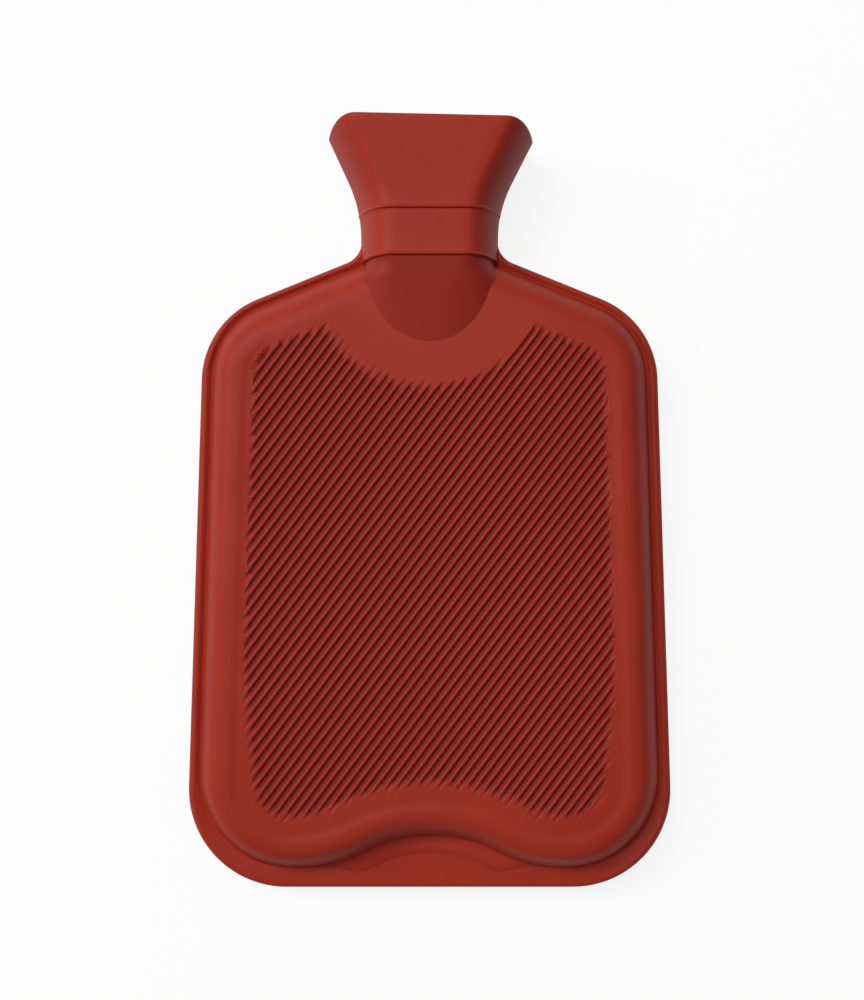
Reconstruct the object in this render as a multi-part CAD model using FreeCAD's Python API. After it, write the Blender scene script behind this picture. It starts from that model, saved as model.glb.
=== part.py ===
import FreeCAD, Part
import math
import os

from FreeCAD import Vector

# Hot water bottle of moulded rubber, with its brass neck insert, screw stopper and sealing washer.
# It is modelled about its mid-plane: X across, Y from the foot to the mouth, Z towards the front.
# At the end all pieces are laid on their back together, as the empty bottle lies on a table.
# All sizes are in millimetres and all angles in degrees.

# Outline of the moulded rim
half_width_at_foot = 103.7
side_taper = 1.8
foot_corner_radius = 41.5
shoulder_corner_radius = 38.0
shoulder_slope = 22.0
shoulder_rise = 13.7
neck_root_radius = 10.0
rim_thickness = 5.0
rim_edge_bevel = 1.4

# Chamber that stands up from the rim, on the front and on the back
panel_half_depth = 16.5
panel_edge_radius = 9.5
rim_width_at_sides = 5.3
rim_width_at_shoulders = 4.4
lobe_height = 6.8
lobe_offset = 57.0
arch_rise = 14.0
arch_radius = 58.0
crown_radius = 50.0
rim_band_width = 5.0
rim_band_rise = 0.4

# Rubber wall and the hollow inside it
wall = 2.5
hollow_chamfer = 5.0
hollow_crown_radius = 120.0

# Diagonal ribs, left standing between grooves with pointed ends
rib_pitch = 3.32
rib_lean = 53.0
groove_width = 2.3
groove_depth = 0.9
groove_taper = 6.0
shortest_groove = 14.0
rib_margin = 22.3
tongue_to_ribs = 19.0

# Neck, with the lip of a ring at each end of a plain band
neck_half_width = 29.1
neck_flat_half_width = 15.5
corner_share = 0.95
neck_cover = 4.4
band_height = 19.2
ring_width = 2.0
ring_rise_front = 1.0
ring_rise_side = 0.4

# Tongue that slopes from the neck down to the panel
tongue_length = 34.1
tongue_root_inset = 0.9
tongue_root_flat = 16.5
tongue_foot_half_width = 42.0
tongue_foot_flat = 6.0

# Filling mouth
mouth_height = 323.0
funnel_height = 38.2
mouth_half_width = 45.0
mouth_half_depth = 25.5
mouth_flat_half_width = 33.0
mouth_trim_half_width = 43.2
mouth_corner_radius = 8.5
mouth_wall = 3.2
funnel_floor_wall = 3.0
lip_bevel = 0.9

# Brass insert in the neck
bore_radius = 12.1
insert_wall = 2.9
insert_length = 22.0
insert_flange_width = 3.0
insert_flange_thickness = 2.0
insert_ring_rise = 1.4
insert_ring_width = 2.0
insert_chamfer = 0.8

# Stopper and its sealing washer
thread_running_clearance = 0.08
washer_thickness = 2.5
washer_inner_clearance = 0.4
washer_overhang = 0.6
flange_thickness = 3.0
flange_to_funnel = 1.6
shank_reach = 17.5
shank_chamfer = 1.2
grip_height = 24.0
grip_thickness = 6.4
grip_to_funnel = 2.2
grip_base_half_width = 13.5
grip_corner_radius = 7.0
grip_dip = 3.5
grip_edge_bevel = 1.2
hub_radius = 7.5
hub_height = 11.0

# Sizes that follow from the ones above
upper_ring_height = mouth_height - funnel_height
lower_ring_height = upper_ring_height - band_height
shoulder_peak = lower_ring_height + shoulder_rise
tongue_foot_height = lower_ring_height - tongue_length
insert_radius = bore_radius + insert_wall
insert_flange_radius = insert_radius + insert_flange_width
neck_half_depth = insert_flange_radius + neck_cover
seat_height = upper_ring_height + ring_width / 2
insert_base = seat_height - insert_length
shank_radius = bore_radius - thread_running_clearance
flange_base = seat_height + washer_thickness
flange_top = flange_base + flange_thickness
grip_top = flange_top + grip_height

# Working values for boolean cuts, which don't change the shape
overlap = 1.0
cut_clearance = 6.0
shortest_edge = 1e-6

UP = Vector(0, 0, 1)
ALONG = Vector(0, 1, 0)


def rounded_outline(right_side):
    """Closed outline in the XY plane, symmetric about X = 0, from its right-hand corners and their radii."""
    left_side = [(-x, y, radius) for x, y, radius in reversed(right_side) if x > 0]
    corners = right_side + left_side
    edges = []
    starts = []
    ends = []
    arcs = []
    for index, (x, y, radius) in enumerate(corners):
        before = corners[index - 1]
        after = corners[(index + 1) % len(corners)]
        here = Vector(x, y, 0)
        back = Vector(before[0] - x, before[1] - y, 0).normalize()
        ahead = Vector(after[0] - x, after[1] - y, 0).normalize()
        half_angle = back.getAngle(ahead) / 2
        reach = radius / math.tan(half_angle)
        starts.append(here + back * reach)
        ends.append(here + ahead * reach)
        if radius > 0:
            bisector = (back + ahead).normalize()
            middle = here + bisector * (radius / math.sin(half_angle) - radius)
            arcs.append(Part.Arc(starts[-1], middle, ends[-1]).toShape())
        else:
            arcs.append(None)
    for index, arc in enumerate(arcs):
        gap = starts[index] - ends[index - 1]
        if gap.Length > shortest_edge:
            edges.append(Part.makeLine(ends[index - 1], starts[index]))
        if arc:
            edges.append(arc)
    return Part.Wire(edges)


def plate(outline, half_thickness, rounding=0, bevel=0):
    """Solid of an XY outline, as thick above the mid-plane as below it, with its two rims rounded or bevelled."""
    bottom = outline.translated(UP * -half_thickness)
    solid = Part.Face(bottom).extrude(UP * (2 * half_thickness))
    rims = [edge for edge in solid.Edges if edge.BoundBox.ZLength < shortest_edge]
    if rounding > 0:
        return solid.makeFillet(rounding, rims)
    if bevel > 0:
        return solid.makeChamfer(bevel, rims)
    return solid


def side_x(height, inset):
    """Half-width of the tapered sides at a height, moved in by an inset."""
    slope = math.radians(side_taper)
    return half_width_at_foot - height * math.tan(slope) - inset / math.cos(slope)


def shoulder_corner(peak, side_inset):
    """Point where the sloping shoulder meets the tapered side."""
    fall = math.tan(math.radians(shoulder_slope))
    taper = math.tan(math.radians(side_taper))
    x = (side_x(0, side_inset) - peak * taper) / (1 - fall * taper)
    return x, peak - x * fall


def rim_outline():
    """Silhouette of the flat rim, up to where it runs into the neck."""
    shoulder_x, shoulder_y = shoulder_corner(shoulder_peak, 0)
    root_height = shoulder_peak - neck_half_width * math.tan(math.radians(shoulder_slope))
    return rounded_outline([
        (side_x(0, 0), 0, foot_corner_radius),
        (shoulder_x, shoulder_y, shoulder_corner_radius),
        (neck_half_width, root_height, neck_root_radius),
        (neck_half_width, upper_ring_height, 0),
    ])


def chamber_outline(inset, crown):
    """Foot of the chamber on the rim, moved in by an inset: two lobes and an arch below, a crown at the neck."""
    arcs_together = (lobe_offset ** 2 + arch_rise ** 2) / (2 * arch_rise)
    lobe_radius = arcs_together - arch_radius - inset
    hollow_radius = arch_radius + inset
    flank = math.asin(lobe_offset / arcs_together)
    base = lobe_height + inset
    arch_corner = base + arch_rise + hollow_radius * (1 / math.cos(flank) - 1)
    lobe_corner = lobe_offset - lobe_radius * math.tan(flank / 2)

    side_inset = rim_width_at_sides + inset
    foot_x = side_x(base, side_inset)
    foot_angle = math.radians(90 - side_taper) / 2
    foot_radius = (foot_x - lobe_offset) * math.tan(foot_angle)

    slope = math.radians(shoulder_slope)
    peak = shoulder_peak - (rim_width_at_shoulders + inset) / math.cos(slope)
    shoulder_x, shoulder_y = shoulder_corner(peak, side_inset)
    shoulder_radius = shoulder_corner_radius - rim_width_at_sides - inset
    return rounded_outline([
        (0, arch_corner, hollow_radius),
        (lobe_corner, base, lobe_radius),
        (foot_x, base, foot_radius),
        (shoulder_x, shoulder_y, shoulder_radius),
        (0, peak, crown),
    ])


def oval(height, half_width, half_depth, flat_half_width):
    """Flattened oval in the plane Y = height: flat in front and behind, round at both sides.

    Each side follows an ellipse with three arcs, tangent to each other and to the flats.
    """
    reach = half_width - flat_half_width
    corner = corner_share * reach ** 2 / half_depth
    drop = half_depth - corner
    run = reach - corner
    centre_back = (drop ** 2 - run ** 2) / (2 * run)
    turn = math.atan2(abs(centre_back), abs(drop))

    def point(x, z):
        """Point of the section."""
        return Vector(x, height, z)

    def arc(side, front, angles):
        """Corner arc in front or behind, through its points at three angles from the flat."""
        spots = []
        for angle in angles:
            x = flat_half_width + corner * math.sin(angle)
            z = drop + corner * math.cos(angle)
            spots.append(point(side * x, front * z))
        return Part.Arc(*spots).toShape()

    tangent_x = flat_half_width + corner * math.sin(turn)
    tangent_z = drop + corner * math.cos(turn)
    edges = []
    for side in (1, -1):
        flat_start = point(-side * flat_half_width, side * half_depth)
        flat_end = point(side * flat_half_width, side * half_depth)
        first = point(side * tangent_x, side * tangent_z)
        second = point(side * tangent_x, -side * tangent_z)
        edges.append(Part.makeLine(flat_start, flat_end))
        edges.append(arc(side, side, (0, turn / 2, turn)))
        edges.append(Part.Arc(first, point(side * half_width, 0), second).toShape())
        edges.append(arc(side, -side, (turn, turn / 2, 0)))
    return Part.Wire(edges)


def between(height, neck_size, mouth_size):
    """Size of the funnel at a height, between what it is at the neck and at the mouth."""
    share = (height - upper_ring_height) / funnel_height
    return neck_size + share * (mouth_size - neck_size)


def funnel_section(height, inset):
    """Section of the filling mouth at a height, moved in by a wall."""
    return oval(
        height,
        between(height, neck_half_width, mouth_half_width) - inset,
        between(height, neck_half_depth, mouth_half_depth) - inset,
        between(height, neck_flat_half_width, mouth_flat_half_width) - inset / 2,
    )


def inner_half_depth(height):
    """Half-depth of the funnel's hollow at a height."""
    return between(height, neck_half_depth - funnel_floor_wall, mouth_half_depth - mouth_wall)


def funnel():
    """Filling mouth: a flared oval cup whose front and back lips stand above its sides."""
    above = mouth_height + overlap
    outside = Part.makeLoft([funnel_section(upper_ring_height, 0), funnel_section(above, 0)], True, True)
    trim = rounded_outline([
        (mouth_trim_half_width, upper_ring_height - overlap, 0),
        (mouth_trim_half_width, mouth_height, mouth_corner_radius),
    ])
    block = plate(trim, 2 * mouth_half_depth)
    hollow = Part.makeLoft([
        funnel_section(seat_height, between(seat_height, funnel_floor_wall, mouth_wall)),
        funnel_section(above, between(above, funnel_floor_wall, mouth_wall)),
    ], True, True)
    cup = outside.common(block).cut(hollow)
    lips = [edge for edge in cup.Edges if edge.BoundBox.YMin > mouth_height - mouth_corner_radius]
    return cup.makeChamfer(lip_bevel, lips)


def ring(height):
    """Thin raised ring round the neck."""
    half_width = neck_half_width + ring_rise_side
    half_depth = neck_half_depth + ring_rise_front
    outline = oval(height - ring_width / 2, half_width, half_depth, neck_flat_half_width)
    return Part.Face(outline).extrude(ALONG * ring_width)


def neck():
    """Plain band of the neck with its two rings."""
    outline = oval(lower_ring_height, neck_half_width, neck_half_depth, neck_flat_half_width)
    band = Part.Face(outline).extrude(ALONG * (upper_ring_height - lower_ring_height))
    return band.fuse([ring(lower_ring_height), ring(upper_ring_height)])


def tongue():
    """Rounded tongues, front and back, that slope from the lower ring down to the panels."""
    run = lower_ring_height - tongue_foot_height
    root_half_depth = neck_half_depth - tongue_root_inset
    fall = (root_half_depth - panel_half_depth) / run
    buried = tongue_foot_height - cut_clearance
    root = oval(lower_ring_height, neck_half_width, root_half_depth, tongue_root_flat)
    foot = oval(buried, tongue_foot_half_width, panel_half_depth - fall * cut_clearance, tongue_foot_flat)
    return Part.makeLoft([foot, root], True, True)


def revolved(profile):
    """Solid of revolution about the neck's axis from radius and height pairs."""
    points = [Vector(radius, height, 0) for radius, height in profile]
    outline = Part.makePolygon(points + [points[0]])
    return Part.Face(outline).revolve(Vector(0, 0, 0), ALONG, 360)


def insert_profile():
    """Outside of the brass insert: flange at the top, an anchor ring in the rubber halfway down."""
    ring_radius = insert_radius + insert_ring_rise
    flange_base_height = seat_height - insert_flange_thickness
    ring_base = (insert_base + flange_base_height - insert_ring_width) / 2
    return [
        (insert_radius, insert_base),
        (insert_radius, ring_base),
        (ring_radius, ring_base),
        (ring_radius, ring_base + insert_ring_width),
        (insert_radius, ring_base + insert_ring_width),
        (insert_radius, flange_base_height),
        (insert_flange_radius, flange_base_height),
        (insert_flange_radius, seat_height),
    ]


def insert_pocket():
    """Space in the rubber that the insert fills."""
    return revolved([(0, insert_base)] + insert_profile() + [(0, seat_height)])


def neck_insert():
    """Brass insert with its bore, chamfered where the stopper goes in."""
    return revolved(insert_profile() + [
        (bore_radius + insert_chamfer, seat_height),
        (bore_radius, seat_height - insert_chamfer),
        (bore_radius, insert_base),
    ])


def groove_cutter(start, end):
    """Trough with a V section whose pointed ends come up to the panel's surface at start and end."""
    run = (end - start).normalize()
    side = run.cross(UP)
    above = cut_clearance / 2
    spread = 1 + above / groove_depth
    half_width = side * (groove_width / 2 * spread)
    lift = UP * above
    keel_start = start + run * groove_taper
    keel_end = end - run * groove_taper
    low_start = keel_start - UP * groove_depth
    low_end = keel_end - UP * groove_depth
    tip_start = start - run * (groove_taper * (spread - 1)) + lift
    tip_end = end + run * (groove_taper * (spread - 1)) + lift
    left_start = keel_start + half_width + lift
    left_end = keel_end + half_width + lift
    right_start = keel_start - half_width + lift
    right_end = keel_end - half_width + lift
    faces = [
        [tip_start, left_start, left_end, tip_end, right_end, right_start],
        [left_start, left_end, low_end, low_start],
        [right_start, right_end, low_end, low_start],
        [tip_start, left_start, low_start],
        [tip_start, right_start, low_start],
        [tip_end, left_end, low_end],
        [tip_end, right_end, low_end],
    ]
    shell = Part.Shell([Part.Face(Part.makePolygon(points + [points[0]])) for points in faces])
    return Part.Solid(shell)


def rib_field():
    """Ribbed area of the panel: the chamber's outline moved in, less a round space below the tongue."""
    edge = Part.Face(chamber_outline(rib_margin, crown_radius))
    centre_height = tongue_foot_height + neck_half_width
    radius = neck_half_width + tongue_to_ribs
    centre = Vector(0, centre_height, 0)
    return edge.cut(Part.Face(Part.Wire(Part.makeCircle(radius, centre))))


def front_grooves():
    """Cutters for all grooves of the front panel, at one pitch across the ribbed area."""
    field = rib_field()
    lean = math.radians(rib_lean)
    run = Vector(math.cos(lean), math.sin(lean), 0)
    step = Vector(math.sin(lean), -math.cos(lean), 0)
    middle = Vector(0, field.CenterOfMass.y, 0)
    reach = field.BoundBox.DiagonalLength
    count = int(reach / 2 / rib_pitch)
    cutters = []
    for number in range(-count, count + 1):
        centre = middle + step * (number * rib_pitch)
        ruler = Part.makeLine(centre - run * reach, centre + run * reach)
        for piece in ruler.common(field).Edges:
            if piece.Length < shortest_groove:
                continue
            ends = sorted((vertex.Point for vertex in piece.Vertexes), key=lambda point: point.dot(run))
            lift = UP * panel_half_depth
            cutters.append(groove_cutter(ends[0] + lift, ends[-1] + lift))
    return cutters


def turned_to_back(shape):
    """Copy of a shape turned half a turn about the neck's axis."""
    copy = shape.copy()
    copy.rotate(Vector(0, 0, 0), ALONG, 180)
    return copy


def bottle_body():
    """The rubber moulding: rim, chamber, tongues, neck and funnel in one, hollow, with ribbed panels."""
    rim = plate(rim_outline(), rim_thickness / 2, bevel=rim_edge_bevel)
    band = plate(chamber_outline(-rim_band_width, crown_radius), rim_thickness / 2 + rim_band_rise)
    chamber = plate(chamber_outline(0, crown_radius), panel_half_depth, rounding=panel_edge_radius)
    outside = rim.fuse([band, chamber, tongue(), neck(), funnel()])

    hollow_half_depth = panel_half_depth - wall
    hollow = plate(chamber_outline(wall, hollow_crown_radius), hollow_half_depth, bevel=hollow_chamfer)
    passage_base = insert_base - 4 * wall
    passage = Part.makeCylinder(bore_radius, 4 * wall, Vector(0, passage_base, 0), ALONG)
    grooves = front_grooves()
    grooves += [turned_to_back(cutter) for cutter in grooves]
    return outside.cut([hollow, passage, insert_pocket()] + grooves)


def stopper_washer():
    """Flat rubber ring under the stopper's flange."""
    inner = shank_radius + washer_inner_clearance
    outer = inner_half_depth(seat_height) - flange_to_funnel - washer_overhang
    return revolved([
        (inner, seat_height),
        (outer, seat_height),
        (outer, flange_base),
        (inner, flange_base),
    ])


def stopper():
    """Moulded stopper: shank, flange, hub and a winged grip with a dip in its top edge."""
    flange_radius = inner_half_depth(seat_height) - flange_to_funnel
    shank_base = seat_height - shank_reach
    shank = revolved([
        (0, shank_base),
        (shank_radius - shank_chamfer, shank_base),
        (shank_radius, shank_base + shank_chamfer),
        (shank_radius, flange_base),
        (flange_radius, flange_base),
        (flange_radius, flange_top),
        (0, flange_top),
    ])
    hub = Part.makeCylinder(hub_radius, hub_height, Vector(0, flange_top, 0), ALONG)
    half_width = inner_half_depth(grip_top) - grip_to_funnel
    wings = rounded_outline([
        (grip_base_half_width, flange_top - overlap, 0),
        (half_width, grip_top, grip_corner_radius),
        (0, grip_top - grip_dip, grip_corner_radius),
    ])
    grip = plate(wings, grip_thickness / 2, bevel=grip_edge_bevel)
    return shank.fuse([hub, grip])


def rest_angle():
    """Angle of the mid-plane when the chamber's lower edge and the back lip both touch the table."""
    lip_height = mouth_height - lip_bevel
    lip_depth = between(lip_height, neck_half_depth, mouth_half_depth)
    run = lip_height - (lobe_height + panel_edge_radius)
    drop = lip_depth - (panel_half_depth - panel_edge_radius)
    turn_in = math.asin(panel_edge_radius / math.hypot(run, drop))
    return math.degrees(math.atan2(drop, run) - turn_in)


pieces = {
    "bottle_body": bottle_body(),
    "neck_insert": neck_insert(),
    "stopper": stopper(),
    "stopper_washer": stopper_washer(),
}

# Lay every piece on its back: the mouth end comes up until the lip is level with the chamber's lower edge
for shape in pieces.values():
    shape.rotate(Vector(0, 0, 0), Vector(1, 0, 0), rest_angle())
bounds = pieces["bottle_body"].optimalBoundingBox(False, False)
centre = Vector((bounds.XMin + bounds.XMax) / 2, (bounds.YMin + bounds.YMax) / 2, bounds.ZMin)

os.makedirs("parts", exist_ok=True)
for name, shape in pieces.items():
    shape.translate(centre * -1)
    shape.exportStep(f"parts/{name}.step")
    print(name, len(shape.Solids), "solid,", round(shape.Volume), "mm3, valid", shape.isValid())
print("laid down by", round(rest_angle(), 7), "degrees, origin moved from", [round(v, 6) for v in centre])
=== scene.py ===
"""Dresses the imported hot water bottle: rubber body, stopper, insert, washer, light and camera."""
import logging
import math
from dataclasses import dataclass
from enum import Enum
from typing import Any, Callable, Sequence

import bmesh
import bpy
import numpy as np
from mathutils import Matrix, Vector
from mathutils.geometry import delaunay_2d_cdt


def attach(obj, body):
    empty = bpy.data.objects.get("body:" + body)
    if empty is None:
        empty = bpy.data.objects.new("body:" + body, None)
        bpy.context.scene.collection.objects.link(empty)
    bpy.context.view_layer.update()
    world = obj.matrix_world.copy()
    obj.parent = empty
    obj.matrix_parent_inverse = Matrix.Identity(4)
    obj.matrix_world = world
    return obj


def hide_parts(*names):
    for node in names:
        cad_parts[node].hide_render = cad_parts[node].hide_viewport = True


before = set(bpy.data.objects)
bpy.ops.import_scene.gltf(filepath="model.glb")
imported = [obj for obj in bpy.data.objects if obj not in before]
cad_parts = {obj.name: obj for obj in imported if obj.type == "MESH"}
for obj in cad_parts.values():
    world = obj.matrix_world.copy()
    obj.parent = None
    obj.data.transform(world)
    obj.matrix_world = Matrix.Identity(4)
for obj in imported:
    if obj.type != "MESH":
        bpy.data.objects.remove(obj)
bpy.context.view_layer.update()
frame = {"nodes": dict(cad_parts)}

log = logging.getLogger("bottle")

MM = 0.001
# Attribute of painted shade: how far a point's colour is darkened, most at the bottoms of the rib grooves
# and evenly on the tongues.
PAINTED_SHADE_ATTRIBUTE = "painted_shade_layer"
# Millimetres below which a length counts as none.
NO_LENGTH = 1e-6
# Share of a rounding's radius by which its middle stands back from both faces.
MID_ARC = 0.3
WHITE = (1.0, 1.0, 1.0, 1.0)


def eased(share: Any) -> Any:
    """Smooth step from 0 to 1 of a share, or of an array of shares, held outside those ends."""
    held = np.clip(share, 0.0, 1.0)
    return held * held * (3.0 - 2.0 * held)


def between(low: Any, high: Any, share: Any) -> Any:
    """Value at a share of the way from one value to another."""
    return low + share * (high - low)


@dataclass(frozen=True)
class Rest:
    """How the bottle lies: its mid-plane tilted about X and set on the table, in mm and degrees."""

    tilt: float = 1.6713559
    middle: float = 161.775058
    lowest: float = -16.022217

    def place(self, points: np.ndarray) -> np.ndarray:
        """Moves points from the bottle's own mid-plane to where it lies.

        Args:
            points: rows of X, Y from the foot and Z from the mid-plane, in millimetres.

        Returns:
            The same rows in the row frame, in metres.
        """
        turn = math.radians(self.tilt)
        y = points[:, 1] * math.cos(turn) - points[:, 2] * math.sin(turn) - self.middle
        z = points[:, 1] * math.sin(turn) + points[:, 2] * math.cos(turn) - self.lowest
        return np.column_stack([points[:, 0], y, z]) * MM

    def spot(self, x: float, y: float, z: float) -> Vector:
        """One point of the bottle's own mid-plane frame in the row frame, in metres."""
        return Vector(self.place(np.array([[x, y, z]]))[0])


REST = Rest()


class Skin:
    """Closed surface gathered loop by loop, in millimetres about the mid-plane."""

    def __init__(self) -> None:
        """Starts with no points and no faces."""
        self.points: list[tuple[float, float, float]] = []
        self.painted_shades: list[float] = []
        self.faces: list[tuple[int, ...]] = []

    def add(self, points: np.ndarray, painted_shades: np.ndarray | None = None) -> np.ndarray:
        """Adds points.

        Args:
            points: rows of X, Y and Z.
            painted_shades: painted shade of each point, how far its colour is darkened, from 0 to 1, or None
                where there is none.

        Returns:
            The numbers of the new points.
        """
        first = len(self.points)
        self.points.extend(tuple(map(float, row)) for row in points)
        self.painted_shades.extend([0.0] * len(points) if painted_shades is None else [float(painted_shade) for painted_shade in painted_shades])
        return np.arange(first, first + len(points))

    def bridge(self, lower: np.ndarray, upper: np.ndarray) -> None:
        """Joins two closed loops of as many points with four-sided faces.

        Args:
            lower: numbers of one loop's points.
            upper: numbers of the other's, in the same order.
        """
        after_low = np.roll(lower, -1)
        after_up = np.roll(upper, -1)
        for a, b, c, d in zip(lower, after_low, after_up, upper):
            self.faces.append((int(a), int(b), int(c), int(d)))

    def loops(self, rows: Sequence[np.ndarray]) -> list[np.ndarray]:
        """Adds loops in order and bridges each to the one before it.

        Args:
            rows: the points of each loop.

        Returns:
            The numbers of each loop's points.
        """
        added = [self.add(row) for row in rows]
        for lower, upper in zip(added, added[1:]):
            self.bridge(lower, upper)
        return added

    def cap(self, loop: np.ndarray, backwards: bool) -> None:
        """Closes a loop with one flat face, its points taken backwards where asked."""
        order = loop[::-1] if backwards else loop
        self.faces.append(tuple(int(i) for i in order))

    def with_back(self) -> None:
        """Adds a copy of all that is there, turned half a turn about the neck's axis."""
        count = len(self.points)
        self.points += [(-x, y, -z) for x, y, z in self.points]
        self.painted_shades += self.painted_shades
        self.faces += [tuple(i + count for i in face) for face in self.faces]


def joined(name: str, skins: Sequence[Skin], smooth_angle: float,
           weld: float = 0.0004) -> bpy.types.Object:
    """Makes one object of several closed skins and lays it down.

    Args:
        name: name of the object.
        skins: closed surfaces about the mid-plane, in millimetres.
        smooth_angle: edges flatter than this, in degrees, are shaded smooth.
        weld: points nearer than this, in millimetres, become one.

    Returns:
        The new object, at the origin, with its place in its mesh.
    """
    body = bmesh.new()
    for skin in skins:
        part = bmesh.new()
        # This layer carries the painted shade of each point.
        layer = part.verts.layers.float.new(PAINTED_SHADE_ATTRIBUTE)
        corners = [part.verts.new(row) for row in REST.place(np.array(skin.points))]
        for corner, painted_shade in zip(corners, skin.painted_shades):
            corner[layer] = painted_shade
        for face in skin.faces:
            part.faces.new([corners[i] for i in face])
        bmesh.ops.remove_doubles(part, verts=part.verts, dist=weld * MM)
        bmesh.ops.recalc_face_normals(part, faces=part.faces)
        mesh = bpy.data.meshes.new(name)
        part.to_mesh(mesh)
        part.free()
        body.from_mesh(mesh)
        bpy.data.meshes.remove(mesh)
    mesh = bpy.data.meshes.new(name)
    body.to_mesh(mesh)
    body.free()
    piece = bpy.data.objects.new(name, mesh)
    bpy.context.scene.collection.objects.link(piece)
    bpy.ops.object.select_all(action="DESELECT")
    piece.select_set(True)
    bpy.context.view_layer.objects.active = piece
    bpy.ops.object.shade_smooth_by_angle(angle=math.radians(smooth_angle))
    return piece


def rounded(corners: Sequence[tuple[float, float, float]], arc_steps: int, line_steps: int) -> np.ndarray:
    """Points round a closed outline with rounded corners.

    Args:
        corners: X, Y and radius of each corner, in order.
        arc_steps: steps along each corner's arc, which gives the same count whatever its radius.
        line_steps: steps along each straight run between two corners.

    Returns:
        Rows of X and Y; the first is the middle of the first corner's arc.
    """
    arcs = []
    count = len(corners)
    for index, (x, y, radius) in enumerate(corners):
        here = np.array([x, y])
        back = np.array(corners[index - 1][:2]) - here
        ahead = np.array(corners[(index + 1) % count][:2]) - here
        back = back / np.linalg.norm(back)
        ahead = ahead / np.linalg.norm(ahead)
        half = math.acos(float(np.clip(back @ ahead, -1, 1))) / 2
        bisector = (back + ahead) / np.linalg.norm(back + ahead)
        centre = here + bisector * radius / math.sin(half)
        sweep = math.pi / 2 - half
        across = ahead - bisector * (ahead @ bisector)
        across = across / np.linalg.norm(across)
        angles = np.linspace(-sweep, sweep, arc_steps + 1)
        aside = np.outer(np.sin(angles), across)
        inward = np.outer(np.cos(angles), bisector)
        arcs.append(centre + radius * (aside - inward))
    rows = []
    for index, arc in enumerate(arcs):
        rows.append(arc)
        start = arc[-1]
        end = arcs[(index + 1) % count][0]
        shares = np.linspace(0, 1, line_steps + 1)[1:-1, None]
        rows.append(start + shares * (end - start))
    ring = np.concatenate(rows)
    apart = np.linalg.norm(ring - np.roll(ring, 1, axis=0), axis=1) > NO_LENGTH
    return np.roll(ring[apart], -(arc_steps // 2), axis=0)


def both_sides(right: Sequence[tuple[float, float, float]]) -> list[tuple[float, float, float]]:
    """Corners of a symmetric outline from those on its right, which may start and end on the axis."""
    return list(right) + [(-x, y, r) for x, y, r in reversed(right) if x > 0]


def inside(points: np.ndarray, outline: np.ndarray) -> np.ndarray:
    """Which points lie inside a closed outline.

    Args:
        points: rows of X and Y.
        outline: rows of X and Y, in order round it.

    Returns:
        True or False for each point.
    """
    x, y = points[:, 0], points[:, 1]
    result = np.zeros(len(points), dtype=bool)
    for (ax, ay), (bx, by) in zip(outline, np.roll(outline, -1, axis=0)):
        if ay == by:
            continue
        crosses = (ay > y) != (by > y)
        result ^= crosses & (x < ax + (y - ay) * (bx - ax) / (by - ay))
    return result


def gap_to(points: np.ndarray, outline: np.ndarray) -> np.ndarray:
    """How far points lie from a closed outline.

    Args:
        points: rows of X and Y.
        outline: rows of X and Y, in order round it.

    Returns:
        The distance from each point to the nearest edge.
    """
    nearest = np.full(len(points), np.inf)
    for start, end in zip(outline, np.roll(outline, -1, axis=0)):
        run = end - start
        share = np.clip(((points - start) @ run) / max(float(run @ run), NO_LENGTH ** 2), 0, 1)
        nearest = np.minimum(nearest, np.linalg.norm(points - start - share[:, None] * run, axis=1))
    return nearest


def graded(outline: Callable[[float], np.ndarray], first: float, last: float,
           step: float) -> Callable[[np.ndarray], np.ndarray]:
    """Lets each point of an outline have its own inset.

    Args:
        outline: gives the outline at one inset.
        first: least inset that will be asked for.
        last: greatest one.
        step: step of inset between the outlines that are worked out.

    Returns:
        A function from one inset for each point to rows of X and Y.
    """
    family = np.array([outline(inset) for inset in np.arange(first, last + step, step)])
    column = np.arange(family.shape[1])

    def at(insets: np.ndarray) -> np.ndarray:
        """Points between the two outlines on either side of each inset."""
        place = (insets - first) / step
        low = np.clip(place.astype(int), 0, len(family) - 2)
        share = (place - low)[:, None]
        return family[low, column] * (1 - share) + family[low + 1, column] * share

    return at


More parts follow.
